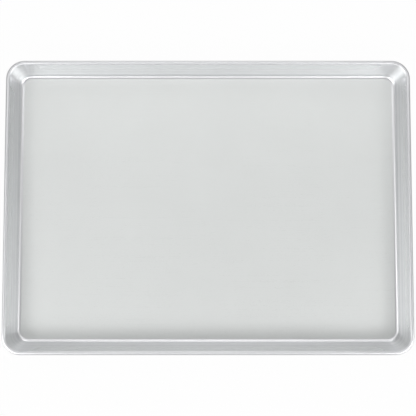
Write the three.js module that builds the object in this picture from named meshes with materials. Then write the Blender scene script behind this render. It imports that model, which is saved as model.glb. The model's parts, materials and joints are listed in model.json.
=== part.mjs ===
// Half-size sheet pan: a shallow rectangular baking pan drawn from one aluminium sheet,
// whose edge is rolled outwards round a steel wire to make a stiff rim.
// Millimetres, +Z up, length along X. The origin is the centre of the underside.
import * as THREE from 'three';
import { LoftGeometry } from 'three/addons/geometries/LoftGeometry.js';
import { mergeGeometries } from 'three/addons/utils/BufferGeometryUtils.js';

// Driving dimensions
const PAN_LENGTH = 457.2; // over the rim, 18 inches
const PAN_WIDTH = 330.2; // over the rim, 13 inches
const PAN_HEIGHT = 25.4; // from the underside to the top of the rim
const SHEET = 0.9; // thickness of the aluminium sheet
const WALL_DRAFT = 18.5; // lean of the walls from the vertical, in degrees
const FLOOR_FILLET = 4.5; // inside radius between floor and wall
const RIM_CORNER = 21; // plan radius of the rim's outer edge
const FLOOR_CORNER = 9; // plan radius of the flat floor's corners
const WIRE_DIAMETER = 2.7; // steel wire inside the rim
const WIRE_CLEARANCE = 0.25; // between the wire and the sheet rolled round it
const WIRE_BUTT_GAP = 0.8; // between the two ends of the wire
const LIP_GAP = 0.3; // slit between the rolled lip and the wall

// Facets in each round stretch
const CORNER_STEPS = 12;
const FILLET_STEPS = 8;
const BEAD_STEPS = 20;
const WIRE_SIDES = 12;

// Cross-section of the sheet at the rim, as x = inset from the pan's outer edge, y = height.
// The wall leans from the floor fillet out to the bead, and is tangent to both circles.
const draft = THREE.MathUtils.degToRad(WALL_DRAFT);
const beadInnerRadius = WIRE_DIAMETER / 2 + WIRE_CLEARANCE;
const beadOuterRadius = beadInnerRadius + SHEET;
const beadCentre = new THREE.Vector2(beadOuterRadius, PAN_HEIGHT - beadOuterRadius);
const filletHeight = SHEET + FLOOR_FILLET;
const wallRun = (beadCentre.y - filletHeight) * Math.tan(draft);
const tangentRun = (beadOuterRadius + FLOOR_FILLET) / Math.cos(draft);
const floorInset = beadCentre.x + tangentRun + wallRun;
const filletCentre = new THREE.Vector2(floorInset, filletHeight);

// The lip stops where its outer edge is one slit away from the outside of the wall.
const lipAngle = Math.acos((beadInnerRadius - LIP_GAP) / beadOuterRadius);

// Points of an arc, from one angle to another. Angles are measured from the inset direction.
function arc(centre, radius, from, to, steps) {
  const clockwise = to < from;
  return new THREE.EllipseCurve(centre.x, centre.y, radius, radius, from, to, clockwise).getPoints(steps);
}

const bead = (radius) => arc(beadCentre, radius, draft, 2 * Math.PI - lipAngle + draft, BEAD_STEPS);
const fillet = (radius) => arc(filletCentre, radius, 1.5 * Math.PI, Math.PI + draft, FILLET_STEPS);

// Outline of the pan in plan at a given inset, counterclockwise from +X. The corners share
// the centre of an edge whose radius at no inset is edgeCorner.
function planOutline(inset, edgeCorner) {
  const radius = edgeCorner - inset;
  const x = PAN_LENGTH / 2 - edgeCorner;
  const y = PAN_WIDTH / 2 - edgeCorner;
  const outline = new THREE.Shape();
  outline.absarc(x, y, radius, 0, Math.PI / 2, false);
  outline.absarc(-x, y, radius, Math.PI / 2, Math.PI, false);
  outline.absarc(-x, -y, radius, Math.PI, 1.5 * Math.PI, false);
  outline.absarc(x, -y, radius, 1.5 * Math.PI, 2 * Math.PI, false);
  return outline.getPoints(CORNER_STEPS / 2);
}

// One ring of the shell for each point of the cross-section
function ring(point, edgeCorner) {
  return planOutline(point.x, edgeCorner).map((p) => new THREE.Vector3(p.x, p.y, point.y));
}

// The shell: the cross-section is followed from the underside up the outside of the wall,
// round the inside of the bead to the lip, back over the bead and down to the floor. The bead
// keeps the rim's corners and the fillet keeps the floor's, so each corner of the wall
// between them is part of a cone.
function panShell() {
  const floorEdgeCorner = FLOOR_CORNER + floorInset;
  const rimRing = (point) => ring(point, RIM_CORNER);
  const floorRing = (point) => ring(point, floorEdgeCorner);
  const sections = [
    ...fillet(FLOOR_FILLET + SHEET).map(floorRing),
    ...bead(beadInnerRadius).map(rimRing),
    ...bead(beadOuterRadius).reverse().map(rimRing),
    ...fillet(FLOOR_FILLET).reverse().map(floorRing),
  ];
  const skin = new LoftGeometry(sections, { capStart: true });
  const floorOutline = new THREE.Shape(planOutline(floorInset, floorEdgeCorner));
  const floor = new THREE.ShapeGeometry(floorOutline).translate(0, 0, SHEET);
  const aluminium = new THREE.MeshStandardMaterial({ color: 0xdcdedd, roughness: 0.4, metalness: 1 });
  const mesh = new THREE.Mesh(mergeGeometries([skin, floor]), aluminium);
  mesh.name = 'pan_shell';
  return mesh;
}

// The wire: a round rod along the middle of the bead, with its ends butted in the middle of
// the far side.
function rimWire() {
  const corner = new THREE.Vector2(PAN_LENGTH / 2 - RIM_CORNER, PAN_WIDTH / 2 - RIM_CORNER);
  const opposite = corner.clone().negate();
  const farSide = PAN_WIDTH / 2 - beadCentre.x;
  const outline = planOutline(beadCentre.x, RIM_CORNER);
  const firstCorner = outline.slice(0, CORNER_STEPS + 1);
  const otherCorners = outline.slice(CORNER_STEPS + 1);
  const route = [
    new THREE.Vector2(-WIRE_BUTT_GAP / 2, farSide),
    ...otherCorners,
    ...firstCorner,
    new THREE.Vector2(WIRE_BUTT_GAP / 2, farSide),
  ];
  const circle = new THREE.EllipseCurve(0, 0, WIRE_DIAMETER / 2, WIRE_DIAMETER / 2).getPoints(WIRE_SIDES);
  circle.pop();
  const sections = route.map((point) => {
    const outward = point.clone().sub(point.clone().clamp(opposite, corner)).normalize();
    return circle.map((p) => {
      const place = point.clone().addScaledVector(outward, p.y);
      return new THREE.Vector3(place.x, place.y, beadCentre.y + p.x);
    });
  });
  const rod = new LoftGeometry(sections, { capStart: true, capEnd: true });
  const steel = new THREE.MeshStandardMaterial({ color: 0xa9adb0, roughness: 0.5, metalness: 1 });
  const mesh = new THREE.Mesh(rod, steel);
  mesh.name = 'rim_wire';
  return mesh;
}

const sheetPan = new THREE.Group();
sheetPan.name = 'sheet_pan';
sheetPan.add(panShell(), rimWire());

export default sheetPan;
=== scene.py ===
import json
import math

import bpy
import numpy as np
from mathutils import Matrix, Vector


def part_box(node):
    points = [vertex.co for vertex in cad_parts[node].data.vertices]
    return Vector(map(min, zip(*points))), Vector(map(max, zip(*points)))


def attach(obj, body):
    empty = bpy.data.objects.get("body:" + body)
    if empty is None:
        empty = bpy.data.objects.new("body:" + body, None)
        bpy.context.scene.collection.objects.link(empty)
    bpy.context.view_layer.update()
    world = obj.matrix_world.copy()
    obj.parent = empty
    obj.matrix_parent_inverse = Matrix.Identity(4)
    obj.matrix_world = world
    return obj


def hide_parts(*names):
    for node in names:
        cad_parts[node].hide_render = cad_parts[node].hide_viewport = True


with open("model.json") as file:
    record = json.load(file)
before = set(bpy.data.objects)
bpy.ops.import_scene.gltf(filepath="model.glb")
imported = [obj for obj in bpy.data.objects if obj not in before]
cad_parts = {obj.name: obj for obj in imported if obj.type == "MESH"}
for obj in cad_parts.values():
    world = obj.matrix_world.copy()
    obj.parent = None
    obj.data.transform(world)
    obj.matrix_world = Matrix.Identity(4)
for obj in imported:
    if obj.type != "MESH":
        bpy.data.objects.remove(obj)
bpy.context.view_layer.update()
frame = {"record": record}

# The pan: one sheet of bare aluminium, pressed over a punch into a flat floor and four flared
# walls that meet in cone-shaped corners. Its edge is curled outwards and down into a round bead
# that closes on the rim's wire, and the lip stops a hairline short of the wall.
MM = 0.001
_, pan_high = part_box("pan_shell")
wire_low, wire_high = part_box("rim_wire")
floor_mount = next(mount for mount in frame["record"]["mounts"] if mount["name"] == "floor")
half_length = pan_high.x
half_width = pan_high.y
sheet = floor_mount["pos_m"][2]
bead_height = (wire_low.z + wire_high.z) / 2
bead_radius = pan_high.z - bead_height
bead_bore = bead_radius - sheet
wall_draft = math.radians(18.5)
floor_fillet = 4.5 * MM
rim_corner = 21 * MM
floor_corner = 9 * MM
lip_slit = 0.3 * MM
lip_rounding = 0.12 * MM
fillet_steps = 16
wall_steps = 8
bore_steps = 40
bead_steps = 48
corner_steps = 24
side_steps = 24
fillet_height = sheet + floor_fillet
floor_inset = (
    bead_radius
    + (bead_radius + floor_fillet) / math.cos(wall_draft)
    + (bead_height - fillet_height) * math.tan(wall_draft)
)
lip_angle = 2 * math.pi + wall_draft - math.acos((bead_bore - lip_slit) / bead_radius)


def bend(centre, radius, start, end, steps, rise, rub):
    """Points of a bent stretch of sheet, as inset from the rim's edge, height, rise and rub.

    The rise is 0 where the corners are the floor's and 1 where they are the rim's. The rub is
    given at even stations along the bend: 0 for sheet as dull as the walls, 1 where the tools
    have burnished it."""
    angle = np.linspace(start, end, steps + 1)
    inset = centre[0] + radius * np.cos(angle)
    height = centre[1] + radius * np.sin(angle)
    rubbed = np.interp(angle, np.linspace(start, end, len(rub)), rub)
    return np.stack([inset, height, np.full_like(angle, rise), rubbed], axis=1)


def straight(lower, upper, steps):
    """Points between two bends. The corners change from one bend's radius to the other's."""
    return np.linspace(lower, upper, steps + 1)[1:-1]


def sheet_section():
    """The sheet's section at the rim: up the outside of the wall, round the inside of the bead
    to the lip, back over the bead and down the wall to the floor. The curling rolls burnish the
    outside of the bead."""
    fillet_centre = (floor_inset, fillet_height)
    bead_centre = (bead_radius, bead_height)
    upright = math.pi + wall_draft
    level = 1.5 * math.pi
    bore_end = lip_angle - lip_rounding / bead_bore
    skin_start = lip_angle - lip_rounding / bead_radius
    dull = (0, 0)
    burnished = (1, 1)
    curled = (1, 1, 1, 1, 0, 0)
    under = bend(fillet_centre, floor_fillet + sheet, level, upright, fillet_steps, 0, dull)
    bore = bend(bead_centre, bead_bore, wall_draft, bore_end, bore_steps, 1, dull)
    lip = [
        bend(bead_centre, bead_bore + lip_rounding, lip_angle, lip_angle, 0, 1, burnished),
        bend(bead_centre, bead_radius - lip_rounding, lip_angle, lip_angle, 0, 1, burnished),
    ]
    skin = bend(bead_centre, bead_radius, skin_start, wall_draft, bead_steps, 1, curled)
    inside = bend(fillet_centre, floor_fillet, upright, level, fillet_steps, 0, dull)
    outer_wall = straight(under[-1], bore[0], wall_steps)
    inner_wall = straight(skin[-1], inside[0], wall_steps)
    return np.concatenate([under, outer_wall, bore, *lip, skin, inner_wall, inside])


def rim_outline(inset, edge_corner):
    """The pan's outline in plan at an inset from its edge, counterclockwise from +X."""
    radius = edge_corner - inset
    arcs = []
    for quarter, (x, y) in enumerate(((1, 1), (-1, 1), (-1, -1), (1, -1))):
        angle = np.linspace(quarter, quarter + 1, corner_steps + 1) * math.pi / 2
        centre = (x * (half_length - edge_corner), y * (half_width - edge_corner))
        arcs.append(centre + radius * np.stack([np.cos(angle), np.sin(angle)], axis=1))
    sides = []
    for quarter in range(4):
        following = arcs[(quarter + 1) % 4]
        sides += [arcs[quarter], straight(arcs[quarter][-1], following[0], side_steps)]
    return np.concatenate(sides)


def drawn_pan_mesh():
    """The sheet's section carried round the rim, closed by the floor and the underside.

    The grain map is in metres: along the rim and up the section on the walls, and along and
    across the pan on the floor. The rub map says where the tools have burnished or roughened
    the sheet."""
    section = sheet_section()
    floor_edge_corner = floor_corner + floor_inset
    rings = []
    for inset, height, rise, _ in section:
        outline = rim_outline(inset, floor_edge_corner + (rim_corner - floor_edge_corner) * rise)
        rings.append(np.column_stack([outline, np.full(len(outline), height)]))
    flat_margin = 0.997
    rings.insert(0, rings[0] * (flat_margin, flat_margin, 1))
    rings.append(rings[-1] * (flat_margin, flat_margin, 1))
    count = len(rings[0])
    last = len(rings) - 1
    vertices = np.concatenate(rings)

    column = np.arange(count)
    after = (column + 1) % count
    row = np.arange(last)[:, None] * count
    above = row + count
    quads = np.stack([row + column, row + after, above + after, above + column], axis=2)
    middle_ring = rings[last // 2]
    steps_along = np.linalg.norm(np.roll(middle_ring, -1, axis=0) - middle_ring, axis=1)
    along = np.concatenate([[0], np.cumsum(steps_along)])
    steps_up = np.linalg.norm(np.diff(section[:, :2], axis=0), axis=1)
    up = np.concatenate([[0, 0], np.cumsum(steps_up), [0]])
    grain = np.empty(quads.shape + (2,))
    grain[..., 0] = np.stack([along[:-1], along[1:], along[1:], along[:-1]], axis=1)
    grain[..., 1] = np.stack([up[:-1], up[:-1], up[1:], up[1:]], axis=1)[:, None]
    grain[[0, -1]] = vertices[quads[[0, -1]], :2]

    underside = column[::-1]
    floor = last * count + column
    faces = quads.reshape(-1, 4).tolist() + [underside.tolist(), floor.tolist()]
    grain = np.concatenate([grain.reshape(-1, 2), vertices[underside, :2], vertices[floor, :2]])
    mesh = bpy.data.meshes.new("drawn_pan")
    mesh.from_pydata(vertices.tolist(), [], faces)
    mesh.uv_layers.new(name="grain").data.foreach_set("uv", grain.astype(np.float32).ravel())
    # Drawing squeezes the sheet at the corners, which roughens their walls and bead. The effect
    # grows over the lower half of the wall.
    in_corner = np.tile(np.repeat([1, 0], [corner_steps + 1, side_steps - 1]), 4)
    squeezed = np.outer(np.minimum(1, 2 * section[:, 2]), in_corner)
    rub = np.zeros((len(rings), count))
    rub[1:-1] = section[:, 3, None] - squeezed
    rub_map = mesh.attributes.new("rub", "FLOAT", "POINT")
    rub_map.data.foreach_set("value", rub.astype(np.float32).ravel())
    rolled = 0
    drawn = 1
    finish = np.full(len(faces), drawn, np.int32)
    finish[:count] = rolled
    finish[(last - 1) * count:] = rolled
    mesh.polygons.foreach_set("material_index", finish)
    mesh.shade_smooth()
    return mesh


def to_linear(hex_colour):
    """An sRGB hex colour as the linear RGBA that a shader socket takes."""
    channels = [int(hex_colour[i:i + 2], 16) / 255 for i in (1, 3, 5)]
    return [c / 12.92 if c <= 0.04045 else ((c + 0.055) / 1.055) ** 2.4 for c in channels] + [1.0]


def add_node(tree, kind, inputs, **settings):
    """Adds a node, sets its properties, and gives each input a value or a link."""
    node = tree.nodes.new(kind)
    for name, value in settings.items():
        setattr(node, name, value)
    for name, value in inputs.items():
        if isinstance(value, bpy.types.NodeSocket):
            tree.links.new(value, node.inputs[name])
        else:
            node.inputs[name].default_value = value
    return node


def rolled_aluminium():
    """Mill-rolled sheet on the floor and the underside: an even satin of dull and brighter grains
    that spreads reflections into soft pools of light, with faint lines along the rolling."""
    line_length = 160 * MM
    # Real rolling lines are about a tenth of this width. They are drawn coarser to show.
    line_width = 0.9 * MM
    line_depth = 0.003 * MM
    line_gloss = 0.06
    # The satin's grains are drawn several times coarser than real ones, for the same reason.
    grain_size = 0.45 * MM
    dull_grain = 0.64
    dull_below = 0.5
    bright_grain = 0.28
    bright_above = 0.72
    cloud_size = 70 * MM
    material = bpy.data.materials.new("rolled_aluminium")
    material.use_nodes = True
    tree = material.node_tree
    shader = tree.nodes["Principled BSDF"]
    place = add_node(tree, "ShaderNodeUVMap", {}, uv_map="grain").outputs["UV"]
    rolling = add_node(tree, "ShaderNodeVectorMath", {
        0: place, 1: (1 / line_length, 1 / line_width, 0),
    }, operation="MULTIPLY")
    lines = add_node(tree, "ShaderNodeTexNoise", {
        "Vector": rolling.outputs[0], "Scale": 1.0, "Detail": 3.0,
    }, noise_dimensions="2D")
    grain = add_node(tree, "ShaderNodeTexNoise", {
        "Vector": place, "Scale": 1 / grain_size, "Detail": 1.0,
    }, noise_dimensions="2D")
    clouds = add_node(tree, "ShaderNodeTexNoise", {
        "Vector": place, "Scale": 1 / cloud_size, "Detail": 2.0,
    }, noise_dimensions="2D")
    tint = add_node(tree, "ShaderNodeMix", {
        "Factor": clouds.outputs["Fac"], "A": to_linear("#dcdedd"), "B": to_linear("#dfe1e0"),
    }, data_type="RGBA")
    satin = add_node(tree, "ShaderNodeMapRange", {
        "Value": grain.outputs["Fac"], "From Min": dull_below, "From Max": bright_above,
        "To Min": dull_grain, "To Max": bright_grain,
    })
    rubbed = add_node(tree, "ShaderNodeMath", {
        0: lines.outputs["Fac"], 1: line_gloss, 2: -line_gloss / 2,
    }, operation="MULTIPLY_ADD")
    roughness = add_node(tree, "ShaderNodeMath", {
        0: satin.outputs[0], 1: rubbed.outputs[0],
    }, operation="ADD")
    relief = add_node(tree, "ShaderNodeBump", {
        "Height": lines.outputs["Fac"], "Distance": line_depth, "Strength": 1.0,
    })
    tree.links.new(tint.outputs["Result"], shader.inputs["Base Color"])
    tree.links.new(roughness.outputs[0], shader.inputs["Roughness"])
    tree.links.new(relief.outputs[0], shader.inputs["Normal"])
    shader.inputs["Metallic"].default_value = 1.0
    return material


def drawn_aluminium():
    """The same sheet where the tools have rubbed it: bluer, with streaks along the rim. The walls
    are dull, and the corners where the sheet was squeezed are duller still, so they spread the
    light into broad fans. The burnished bead shows narrow bright lines."""
    squeezed_roughness = 0.46
    burnished_roughness = 0.28
    streak_gloss = 0.08
    faint_streak = 0.3
    strong_streak = 0.7
    # A streak is longer than the way round the rim, so it hardly changes along a wall.
    streak_length = 6000 * MM
    # Real drawing streaks are a few tenths of a millimetre wide. They are drawn coarser to show.
    streak_width = 2.2 * MM
    streak_depth = 0.0015 * MM
    material = bpy.data.materials.new("drawn_aluminium")
    material.use_nodes = True
    tree = material.node_tree
    shader = tree.nodes["Principled BSDF"]
    place = add_node(tree, "ShaderNodeUVMap", {}, uv_map="grain").outputs["UV"]
    drawing = add_node(tree, "ShaderNodeVectorMath", {
        0: place, 1: (1 / streak_length, 1 / streak_width, 0),
    }, operation="MULTIPLY")
    streaks = add_node(tree, "ShaderNodeTexNoise", {
        "Vector": drawing.outputs[0], "Scale": 1.0, "Detail": 2.0,
    }, noise_dimensions="2D").outputs["Fac"]
    contrast = add_node(tree, "ShaderNodeMapRange", {
        "Value": streaks, "From Min": faint_streak, "From Max": strong_streak,
    })
    tint = add_node(tree, "ShaderNodeMix", {
        "Factor": contrast.outputs[0], "A": to_linear("#d8d9db"), "B": to_linear("#e6e6e8"),
    }, data_type="RGBA")
    rub = add_node(tree, "ShaderNodeAttribute", {}, attribute_name="rub").outputs["Fac"]
    gloss = add_node(tree, "ShaderNodeMapRange", {
        "Value": rub, "From Min": -1.0, "From Max": 1.0,
        "To Min": squeezed_roughness, "To Max": burnished_roughness,
    })
    roughness = add_node(tree, "ShaderNodeMath", {
        0: streaks, 1: -streak_gloss, 2: gloss.outputs[0],
    }, operation="MULTIPLY_ADD")
    relief = add_node(tree, "ShaderNodeBump", {
        "Height": streaks, "Distance": streak_depth, "Strength": 1.0,
    })
    tree.links.new(tint.outputs["Result"], shader.inputs["Base Color"])
    tree.links.new(roughness.outputs[0], shader.inputs["Roughness"])
    tree.links.new(relief.outputs[0], shader.inputs["Normal"])
    shader.inputs["Metallic"].default_value = 1.0
    return material


drawn_pan = bpy.data.objects.new("drawn_pan", drawn_pan_mesh())
bpy.context.scene.collection.objects.link(drawn_pan)
drawn_pan.data.materials.append(rolled_aluminium())
drawn_pan.data.materials.append(drawn_aluminium())
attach(drawn_pan, "root")
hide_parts("pan_shell")

# The rim's wire: one length of galvanised steel wire, bent to the rim's outline inside the curled
# edge, which alone holds it. Its two cropped ends butt in the middle of the far side, and only
# the slit under the bead gives a glimpse of it.
wire_radius = (wire_high.z - wire_low.z) / 2
butt_gap = 0.8 * MM
crop_bevel = 0.2 * MM
wire_sides = 24


def bent_wire_mesh():
    """A round rod along the middle of the bead, with both ends bevelled by the cropping.

    The grain map is in metres, along the wire and around it."""
    outline = rim_outline(bead_radius, rim_corner)
    far_side = half_width - bead_radius
    far_middle = np.argmin(np.linalg.norm(outline - (0, far_side), axis=1))
    bends = np.roll(outline, -far_middle, axis=0)[1:]
    first_end = [(-butt_gap / 2, far_side), (-butt_gap / 2 - crop_bevel, far_side)]
    last_end = [(butt_gap / 2 + crop_bevel, far_side), (butt_gap / 2, far_side)]
    route = np.concatenate([first_end, bends, last_end])
    radius = np.full((len(route), 1), wire_radius)
    radius[[0, -1]] -= crop_bevel

    corner_centre = np.array([half_length - rim_corner, half_width - rim_corner])
    outward = route - np.clip(route, -corner_centre, corner_centre)
    outward /= np.linalg.norm(outward, axis=1)[:, None]
    turn = np.linspace(0, 2 * math.pi, wire_sides + 1)[:-1]
    across = radius * np.cos(turn)
    plan = route[:, None] + outward[:, None] * across[..., None]
    height = bead_height + radius * np.sin(turn)
    vertices = np.concatenate([plan, height[..., None]], axis=2).reshape(-1, 3)

    side = np.arange(wire_sides)
    after = (side + 1) % wire_sides
    row = np.arange(len(route) - 1)[:, None] * wire_sides
    ahead = row + wire_sides
    quads = np.stack([row + side, ahead + side, ahead + after, row + after], axis=2)
    last_cap = (len(route) - 1) * wire_sides + side[::-1]
    along = np.concatenate([[0], np.cumsum(np.linalg.norm(np.diff(route, axis=0), axis=1))])
    around = np.arange(wire_sides + 1) * 2 * math.pi * wire_radius / wire_sides
    grain = np.empty(quads.shape + (2,))
    grain[..., 0] = np.stack([along[:-1], along[1:], along[1:], along[:-1]], axis=1)[:, None]
    grain[..., 1] = np.stack([around[:-1], around[:-1], around[1:], around[1:]], axis=1)
    caps = vertices[np.concatenate([side, last_cap])][:, [0, 2]]
    grain = np.concatenate([grain.reshape(-1, 2), caps])
    faces = quads.reshape(-1, 4).tolist() + [side.tolist(), last_cap.tolist()]
    mesh = bpy.data.meshes.new("rim_rod")
    mesh.from_pydata(vertices.tolist(), [], faces)
    mesh.uv_layers.new(name="grain").data.foreach_set("uv", grain.astype(np.float32).ravel())
    mesh.shade_smooth()
    return mesh


def galvanised_steel():
    """Drawn wire with a coat of zinc: a dull mid grey, mottled where the zinc is thicker and
    streaked along its length by the drawing die."""
    zinc_patch = 2 * MM
    die_line_length = 15 * MM
    die_line_width = 0.2 * MM
    die_line_depth = 0.004 * MM
    faint_line = 0.25
    strong_line = 0.75
    smooth_zinc = 0.38
    rough_zinc = 0.55
    material = bpy.data.materials.new("galvanised_steel")
    material.use_nodes = True
    tree = material.node_tree
    shader = tree.nodes["Principled BSDF"]
    place = add_node(tree, "ShaderNodeUVMap", {}, uv_map="grain").outputs["UV"]
    zinc = add_node(tree, "ShaderNodeTexNoise", {
        "Vector": place, "Scale": 1 / zinc_patch, "Detail": 2.0,
    }, noise_dimensions="2D")
    drawing = add_node(tree, "ShaderNodeVectorMath", {
        0: place, 1: (1 / die_line_length, 1 / die_line_width, 0),
    }, operation="MULTIPLY")
    lines = add_node(tree, "ShaderNodeTexNoise", {
        "Vector": drawing.outputs[0], "Scale": 1.0, "Detail": 2.0,
    }, noise_dimensions="2D")
    tint = add_node(tree, "ShaderNodeMix", {
        "Factor": zinc.outputs["Fac"], "A": to_linear("#a0a4a7"), "B": to_linear("#b4b7b9"),
    }, data_type="RGBA")
    roughness = add_node(tree, "ShaderNodeMapRange", {
        "Value": lines.outputs["Fac"], "From Min": faint_line, "From Max": strong_line,
        "To Min": smooth_zinc, "To Max": rough_zinc,
    })
    relief = add_node(tree, "ShaderNodeBump", {
        "Height": lines.outputs["Fac"], "Distance": die_line_depth, "Strength": 1.0,
    })
    tree.links.new(tint.outputs["Result"], shader.inputs["Base Color"])
    tree.links.new(roughness.outputs[0], shader.inputs["Roughness"])
    tree.links.new(relief.outputs[0], shader.inputs["Normal"])
    shader.inputs["Metallic"].default_value = 1.0
    return material


rim_rod = bpy.data.objects.new("rim_rod", bent_wire_mesh())
bpy.context.scene.collection.objects.link(rim_rod)
rim_rod.data.materials.append(galvanised_steel())
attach(rim_rod, "root")
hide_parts("rim_wire")

# The sweep that the pan stands on: a sheet of matt white paper, laid flat. The camera sees it
# lifted almost to plain white, and the metal sees a small part of that lift over the paper's
# own shade, so the pan keeps a grey edge all round.
sweep_half = 4.0
sweep_drop = 0.3 * MM
seen_by_camera = 0.98
seen_in_metal = 0.1


def white_sweep_mesh():
    """One flat square, a hair below the pan's underside."""
    corners = [
        (-sweep_half, -sweep_half, -sweep_drop),
        (sweep_half, -sweep_half, -sweep_drop),
        (sweep_half, sweep_half, -sweep_drop),
        (-sweep_half, sweep_half, -sweep_drop),
    ]
    mesh = bpy.data.meshes.new("white_sweep")
    mesh.from_pydata(corners, [], [(0, 1, 2, 3)])
    return mesh


def white_share(tree):
    """How much of plain white a ray meets: nearly all for the camera, and a part for the metal."""
    path = add_node(tree, "ShaderNodeLightPath", {})
    by_rays = add_node(tree, "ShaderNodeMath", {
        0: path.outputs["Is Glossy Ray"], 1: path.outputs["Is Transmission Ray"],
    }, operation="MAXIMUM")
    in_metal = add_node(tree, "ShaderNodeMath", {
        0: by_rays.outputs[0], 1: seen_in_metal,
    }, operation="MULTIPLY")
    seen = add_node(tree, "ShaderNodeMath", {
        0: path.outputs["Is Camera Ray"], 1: seen_by_camera, 2: in_metal.outputs[0],
    }, operation="MULTIPLY_ADD")
    return seen.outputs[0]


def white_paper():
    """Uncoated paper: a matt, even white that takes soft shadows."""
    material = bpy.data.materials.new("white_paper")
    material.use_nodes = True
    tree = material.node_tree
    tree.nodes.clear()
    paper = add_node(tree, "ShaderNodeBsdfDiffuse", {"Color": to_linear("#c0c0c0")})
    lift = add_node(tree, "ShaderNodeEmission", {"Color": to_linear("#ffffff"), "Strength": 1.0})
    mix = add_node(tree, "ShaderNodeMixShader", {
        0: white_share(tree), 1: paper.outputs[0], 2: lift.outputs[0],
    })
    add_node(tree, "ShaderNodeOutputMaterial", {"Surface": mix.outputs[0]})
    return material


white_sweep = bpy.data.objects.new("white_sweep", white_sweep_mesh())
bpy.context.scene.collection.objects.link(white_sweep)
white_sweep.data.materials.append(white_paper())

# The studio: softboxes on stands round the table, with the two strong ones at the near corners
# and weaker panels at the sides, above and beyond, in an even room that the camera sees as
# white. Azimuth 0 is to the right of the pan, and 90 is beyond its far side.
stand_off = 2.4
room_level = 0.38


def softbox(name, azimuth, elevation, width, height, level):
    """A lamp panel that faces the pan. A level of 1 is as bright as white paper in full light."""
    data = bpy.data.lights.new(name, "AREA")
    data.shape = "RECTANGLE"
    data.size = width
    data.size_y = height
    data.energy = level * math.pi * width * height
    lamp = bpy.data.objects.new(name, data)
    around = math.radians(azimuth)
    above = math.radians(elevation)
    reach = math.cos(above)
    towards = Vector((math.cos(around) * reach, math.sin(around) * reach, math.sin(above)))
    lamp.location = towards * stand_off
    lamp.rotation_euler = towards.to_track_quat("Z", "Y").to_euler()
    lamp.visible_camera = False
    bpy.context.scene.collection.objects.link(lamp)


softbox("near_left_softbox", 222, 35, width=1.65, height=0.75, level=5.6)
softbox("near_right_softbox", 318, 35, width=1.65, height=0.75, level=6.0)
softbox("near_panel", 270, 44, width=1.5, height=0.55, level=2.2)
softbox("low_left_softbox", 203, 14, width=0.9, height=0.5, level=5.0)
softbox("low_right_softbox", 337, 14, width=0.9, height=0.5, level=2.4)
softbox("left_panel", 180, 50, width=0.6, height=0.9, level=2.0)
softbox("right_panel", 0, 50, width=0.6, height=0.9, level=0.85)
softbox("overhead_panel", 90, 68, width=2.6, height=0.7, level=1.4)
softbox("far_panel", 90, 32, width=1.7, height=1.0, level=1.4)

white_room = bpy.data.worlds.new("white_room")
white_room.use_nodes = True
bpy.context.scene.world = white_room
room_tree = white_room.node_tree
room = room_tree.nodes["Background"]
room.inputs["Color"].default_value = to_linear("#ffffff")
room_lift = add_node(room_tree, "ShaderNodeMapRange", {
    "Value": white_share(room_tree), "To Min": room_level, "To Max": 1.0,
})
room_tree.links.new(room_lift.outputs[0], room.inputs["Strength"])

# The camera: almost straight above the pan, leaning a little to the near side, at the distance
# that gives the rim's far and near sides their lengths in the photograph.
camera_distance = 872.3 * MM
camera_lean = math.radians(3.83)
aim_to_near_side = 2.09 * MM
aim = Vector((0, -aim_to_near_side, bead_height))
sight_line = Vector((0, -math.sin(camera_lean), math.cos(camera_lean)))
camera_data = bpy.data.cameras.new("camera")
camera_data.sensor_width = 36
camera_data.lens = 67.4
camera = bpy.data.objects.new("camera", camera_data)
camera.location = aim + camera_distance * sight_line
camera.rotation_euler = (camera_lean, 0, 0)
bpy.context.scene.collection.objects.link(camera)
bpy.context.scene.camera = camera
bpy.context.scene.view_settings.view_transform = "Standard"
